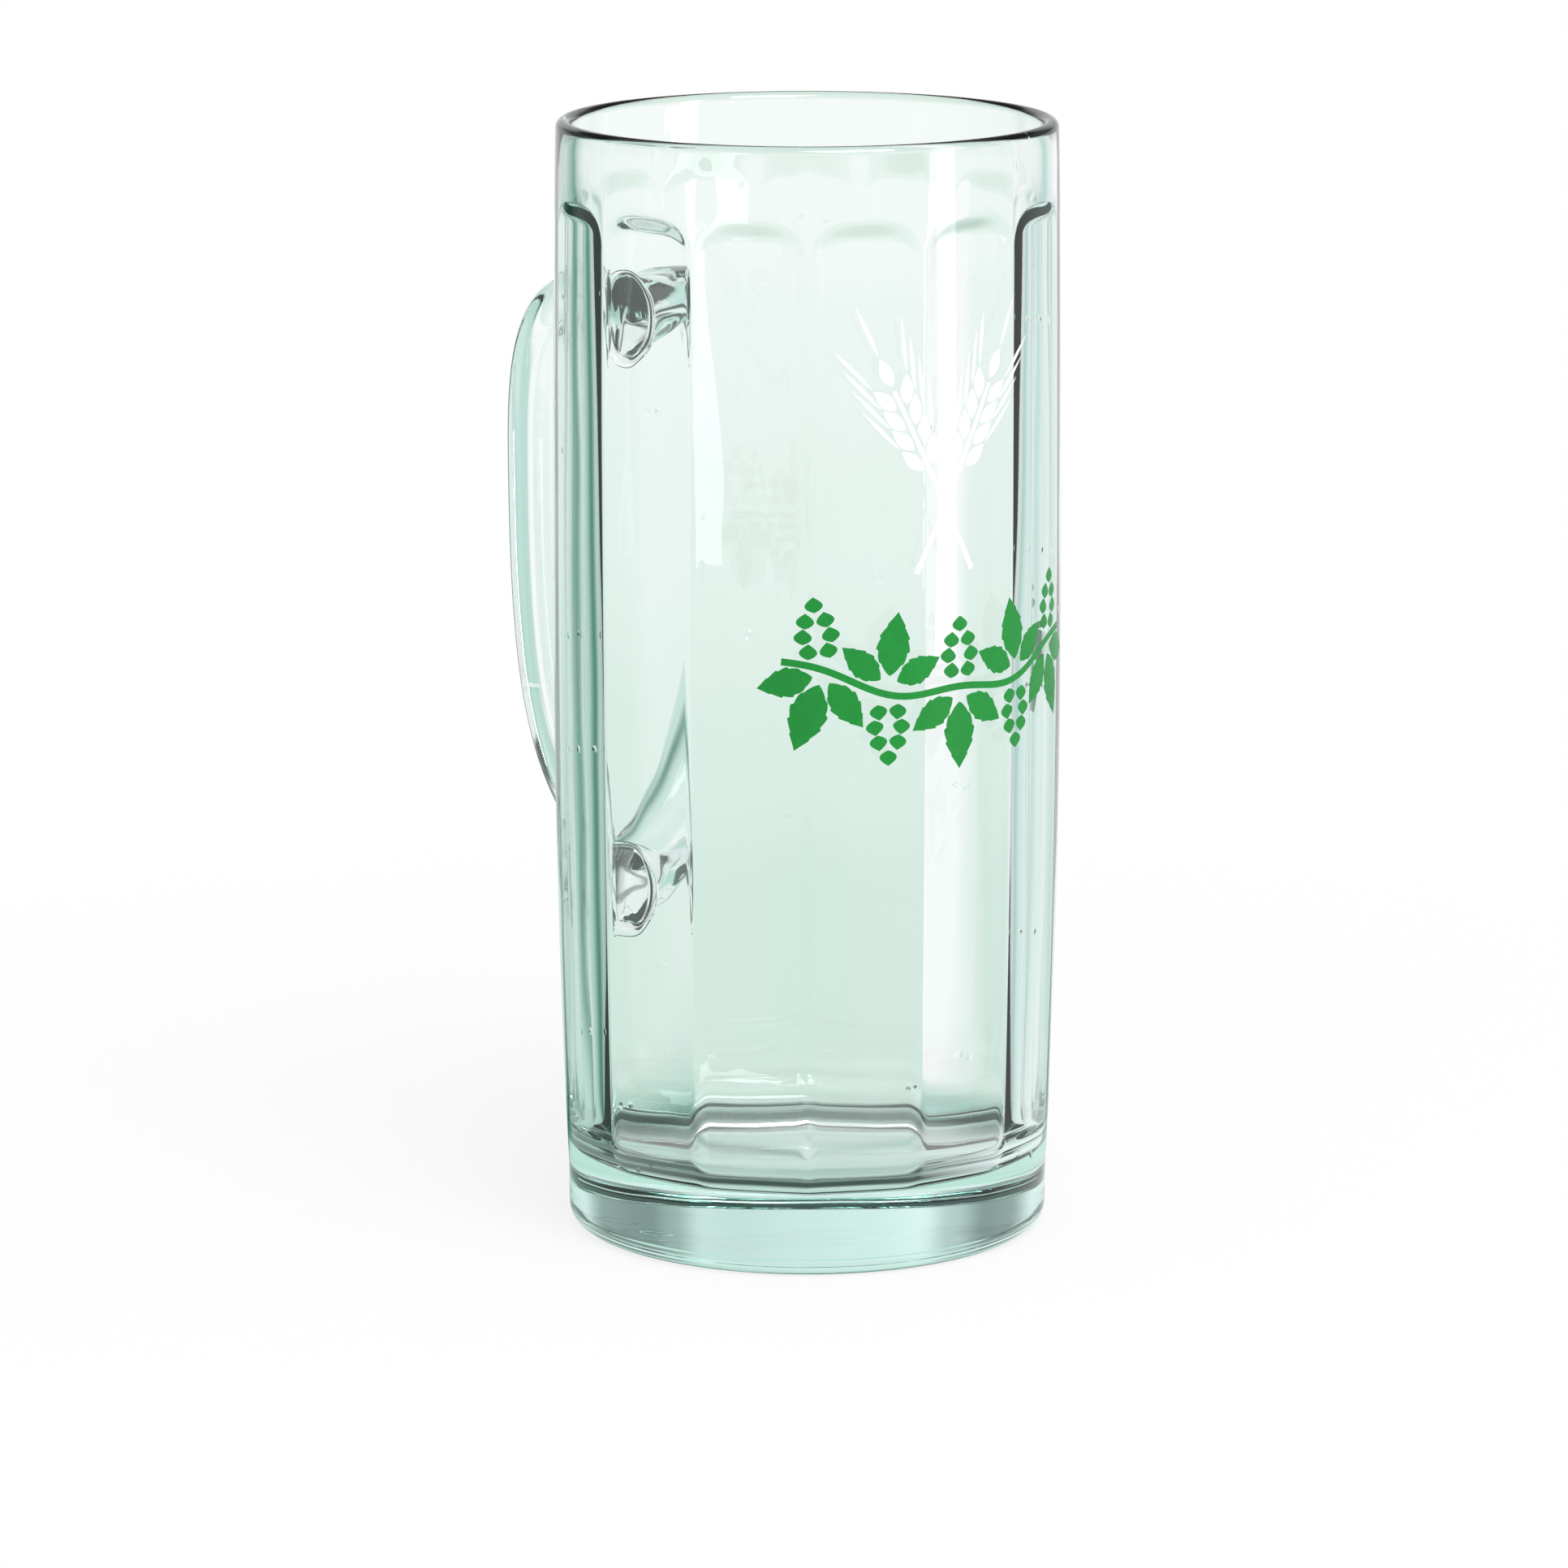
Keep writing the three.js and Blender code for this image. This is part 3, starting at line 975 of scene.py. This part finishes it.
CLEAR = glass()


def glass_piece(name, tree_name, columns, rows, shape, kept):
    """A piece of clear glass from its rows."""
    tree = surface_tree(tree_name, columns, len(rows), shape, kept)
    values = {"Columns": columns, "Row count": len(rows), "Finish": CLEAR}
    piece = grown(name, row_mesh(name + "_rows", rows), tree, values)
    face_outwards(piece)
    piece.data.shade_smooth()
    return piece


body = glass_piece("body_glass", "Panelled body", COLUMNS, body_rows(), body_shape, "outer_wall")
strap = glass_piece("strap_glass", "Strap", SECTION_STEPS, strap_rows(), strap_shape, "weld_face")

film_tree = wrap_tree()
for name, shapes, middle, colour in (
    ("print_white", barley_ear(1, False) + barley_ear(-1, True), EARS_MIDDLE, WHITE_ENAMEL),
    ("print_green", garland(), GARLAND_MIDDLE, GREEN_ENAMEL),
):
    values = {"Angle": PRINT_ANGLE, "Lift": PRINT_LIFT, "Film": PRINT_FILM, "Finish": enamel(name, colour)}
    film = grown(name, print_slab(name, shapes, middle), film_tree, values)
    face_outwards(film)
    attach(film, "root")

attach(body, "root")
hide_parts("mug_body")
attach(strap, "root")
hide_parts("strap_handle")

# Studio, in metres

WHITE = (1, 1, 1, 1)

CAMERA_AZIMUTH = math.radians(228.2)
CAMERA_AWAY = 1.100
CAMERA_HEIGHT = 0.3022
CAMERA_PITCH = math.radians(11.89)
CAMERA_SENSOR = 36.0
CAMERA_LENS = 162.7
CAMERA_CLIP = 0.05
PICTURE_WIDTH = 1932
PICTURE_SHIFT = -28.6
BEHIND = (-math.sin(CAMERA_AZIMUTH), math.cos(CAMERA_AZIMUTH))
RIGHT = (math.cos(CAMERA_AZIMUTH), math.sin(CAMERA_AZIMUTH))

# Brightness of the floor and of the room's walls, in degrees to the right of straight behind the mug: the
# floor's darker sides are painted shade in the glow that the glass shows, the walls' are the world's light
FLOOR_SHADE_SIDES = [
    (-180, 0.93), (-110, 0.93), (-80, 0.8), (-58, 0.8), (-43, 0.26), (-30, 0.86),
    (-20, 1.0), (25, 1.0), (38, 0.7), (48, 0.85), (65, 0.93), (180, 0.93),
]
WALL_SIDES = [
    (-180, 0.95), (-66, 0.95), (-48, 0.3), (-38, 0.28), (-27, 0.62), (-20, 0.95), (-8, 0.88), (0, 0.85),
    (12, 0.78), (18, 0.8), (25, 0.42), (31, 0.26), (48, 0.3), (66, 0.95), (180, 0.95),
]

# How much greener a dimmer side is, on the floor and on the walls, and the share of that in blue
FLOOR_TINT = 0.9
WALL_TINT = 0.1
TINT_IN_BLUE = 0.2

# Colour of the floor seen through the glass, at distances from the mug's axis: painted shade, greyer and
# darker nearer the mug, with a dark ring at the foot that is a painted contact shadow
FLOOR_SHADE_RINGS = [
    (0.0, (0.62, 0.76, 0.69)),
    (0.027, (0.62, 0.76, 0.69)),
    (0.0305, (0.05, 0.08, 0.07)),
    (0.0365, (0.05, 0.08, 0.07)),
    (0.0405, (0.62, 0.76, 0.69)),
    (0.06, (0.66, 0.81, 0.73)),
    (0.25, (0.67, 0.82, 0.74)),
    (0.36, (0.73, 0.86, 0.79)),
    (0.6, (0.82, 0.91, 0.86)),
    (0.9, (0.88, 0.94, 0.905)),
    (1.0, (0.93, 0.97, 0.95)),
]

FLOOR_HALF = 3.0
FLOOR_COLOUR = (0.85, 0.85, 0.85, 1)
FLOOR_ROUGHNESS = 0.9

# White floor on the right and, fainter, on the left of the strip behind the mug that has the rings' colours:
# that strip, which widens away from the mug, is a painted shadow of the mug
SHADOW_STRIP_START = 0.02
SHADOW_STRIP_SPREAD = 0.2
RIGHT_EDGE = (-0.004, 0.006)
RIGHT_SHARES = (0.0, 1.0)
LEFT_EDGE = (-0.014, 0.006)
LEFT_SHARES = (0.3, 0.0)

# Share of plain white in the floor that the camera sees, by the distance from the mug, which casts a shadow
SHADOW_RANGE = (0.05, 0.3)
WHITE_SHARES = (0.8, 1.0)

# Tones of the room below and above its walls, by the height of a direction, and the share they have there
ROOM_SHARES = [(0.09, 1.0), (0.16, 0.0), (0.38, 0.0), (0.44, 1.0)]
ROOM_TONES = [(0.09, 0.9), (0.2, 0.12), (0.6, 0.12), (0.75, 0.9)]

LAMP_AIM = Vector((0, 0, 0.09))


def blend(graph, place, stops):
    """A smooth colour ramp through the given places and grey levels or colours."""
    ramp = graph.node("ShaderNodeValToRGB", place)
    ramp.color_ramp.interpolation = "EASE"
    made = ramp.color_ramp.elements
    for i, (where, level) in enumerate(stops):
        stop = made[i] if i < 2 else made.new(where)
        stop.position = where
        stop.color = (*level, 1) if isinstance(level, tuple) else (level, level, level, 1)
    return ramp.outputs["Color"]


def mixed(graph, share, a, b, way="MIX"):
    """Two colours mixed by a share."""
    both = graph.node("ShaderNodeMix", share, data_type="RGBA", blend_type=way)
    graph.feed(both.inputs["A"], a)
    graph.feed(both.inputs["B"], b)
    return both.outputs["Result"]


def from_behind(graph, x, y):
    """Distance to the right of the line behind the mug, and the turn from it as a share of a circle."""
    behind = graph.add(graph.mul(x, BEHIND[0]), graph.mul(y, BEHIND[1]))
    right = graph.add(graph.mul(x, RIGHT[0]), graph.mul(y, RIGHT[1]))
    return right, graph.add(graph.mul(graph.math("ARCTAN2", right, behind), 0.5 / math.pi), 0.5)


def by_degrees(stops, tint):
    """Stops of a colour ramp round the mug, where a dimmer side is a greener one by the given tint."""
    made = []
    for degrees, level in stops:
        colour = (level ** (1 + tint), level, level ** (1 + tint * TINT_IN_BLUE))
        made.append((degrees / 360 + 0.5, colour))
    return made


def studio_floor():
    """A pale floor: white with the mug's shadow to the camera, and to the glass a glow with painted shade,
    the mug's painted shadow and darker sides.
    """
    mesh = bpy.data.meshes.new("studio_floor")
    corners = [(x * FLOOR_HALF, y * FLOOR_HALF, 0) for x, y in ((-1, -1), (1, -1), (1, 1), (-1, 1))]
    mesh.from_pydata(corners, [], [(0, 1, 2, 3)])
    floor = bpy.data.objects.new("studio_floor", mesh)
    bpy.context.scene.collection.objects.link(floor)
    material = bpy.data.materials.new("pale_floor_painted_shade")
    material.use_nodes = True
    graph = Graph(material.node_tree)
    lit = graph.tree.nodes["Principled BSDF"]
    lit.inputs["Base Color"].default_value = FLOOR_COLOUR
    lit.inputs["Roughness"].default_value = FLOOR_ROUGHNESS
    lit.inputs["Specular IOR Level"].default_value = 0.0
    path = graph.node("ShaderNodeLightPath").outputs
    x, y, _ = graph.split(graph.place())
    away = graph.math("SQRT", graph.add(graph.mul(x, x), graph.mul(y, y)))
    right, turn = from_behind(graph, x, y)
    # The glow that the glass sees is painted shade: the mug's painted shadow strip, the rings' painted shade
    # with a painted contact shadow at the foot, and darker sides
    shadow_edge = graph.add(graph.mul(away, SHADOW_STRIP_SPREAD), SHADOW_STRIP_START)
    on_right = graph.span(graph.sub(right, shadow_edge), RIGHT_EDGE, RIGHT_SHARES)
    on_left = graph.span(graph.add(right, shadow_edge), LEFT_EDGE, LEFT_SHARES)
    painted_tone = mixed(graph, graph.larger(on_right, on_left), blend(graph, away, FLOOR_SHADE_RINGS), WHITE)
    painted_tone = mixed(graph, 1.0, painted_tone, blend(graph, turn, by_degrees(FLOOR_SHADE_SIDES, FLOOR_TINT)), "MULTIPLY")
    glow = graph.node("ShaderNodeEmission", mixed(graph, path["Is Camera Ray"], painted_tone, WHITE), 1.0)
    direct = graph.larger(path["Is Camera Ray"], path["Is Transmission Ray"])
    direct = graph.larger(direct, path["Is Glossy Ray"])
    white_share = graph.span(away, SHADOW_RANGE, WHITE_SHARES)
    share = mixed(graph, path["Is Camera Ray"], WHITE, white_share)
    both = graph.node("ShaderNodeMixShader", graph.mul(direct, share), lit.outputs[0], glow.outputs[0])
    graph.feed(graph.tree.nodes["Material Output"].inputs["Surface"], both.outputs[0])
    mesh.materials.append(material)


def studio_world():
    """A room that is white to the camera and has brighter and darker sides for the glass."""
    made = bpy.data.worlds.new("studio")
    bpy.context.scene.world = made
    made.use_nodes = True
    graph = Graph(made.node_tree)
    path = graph.node("ShaderNodeLightPath").outputs
    x, y, z = graph.split(graph.node("ShaderNodeTexCoord").outputs["Generated"])
    _, turn = from_behind(graph, x, y)
    walls = blend(graph, turn, by_degrees(WALL_SIDES, WALL_TINT))
    room = mixed(graph, blend(graph, z, ROOM_SHARES), walls, blend(graph, z, ROOM_TONES))
    background = graph.tree.nodes["Background"]
    graph.feed(background.inputs["Color"], mixed(graph, path["Is Camera Ray"], room, WHITE))
    background.inputs["Strength"].default_value = 1.0


def softbox(name, degrees, away, height, width, tall, power):
    """A soft rectangular lamp, placed in degrees to the right of the camera's side and turned to the mug."""
    a = math.radians(degrees)
    x = -BEHIND[0] * math.cos(a) + RIGHT[0] * math.sin(a)
    y = -BEHIND[1] * math.cos(a) + RIGHT[1] * math.sin(a)
    data = bpy.data.lights.new(name, "AREA")
    data.shape = "RECTANGLE"
    data.size = width
    data.size_y = tall
    data.energy = power
    lamp = bpy.data.objects.new(name, data)
    bpy.context.scene.collection.objects.link(lamp)
    lamp.location = (x * away, y * away, height)
    lamp.rotation_euler = (LAMP_AIM - lamp.location).to_track_quat("-Z", "Y").to_euler()
    lamp.visible_camera = False


def camera():
    """The camera, at the photograph's viewing angle."""
    data = bpy.data.cameras.new("photo_camera")
    data.sensor_fit = "HORIZONTAL"
    data.sensor_width = CAMERA_SENSOR
    data.lens = CAMERA_LENS
    data.shift_x = PICTURE_SHIFT / PICTURE_WIDTH
    data.clip_start = CAMERA_CLIP
    made = bpy.data.objects.new("photo_camera", data)
    bpy.context.scene.collection.objects.link(made)
    made.location = (
        CAMERA_AWAY * math.sin(CAMERA_AZIMUTH),
        -CAMERA_AWAY * math.cos(CAMERA_AZIMUTH),
        CAMERA_HEIGHT,
    )
    made.rotation_euler = (math.pi / 2 - CAMERA_PITCH, 0, CAMERA_AZIMUTH)
    bpy.context.scene.camera = made


studio_floor()
studio_world()
softbox("strip_softbox", degrees=63, away=0.5, height=0.2, width=0.09, tall=0.5, power=0.5)
softbox("overhead_softbox", degrees=25, away=1.0, height=1.4, width=0.9, tall=0.9, power=18)
camera()

bpy.context.scene.view_settings.view_transform = "Standard"
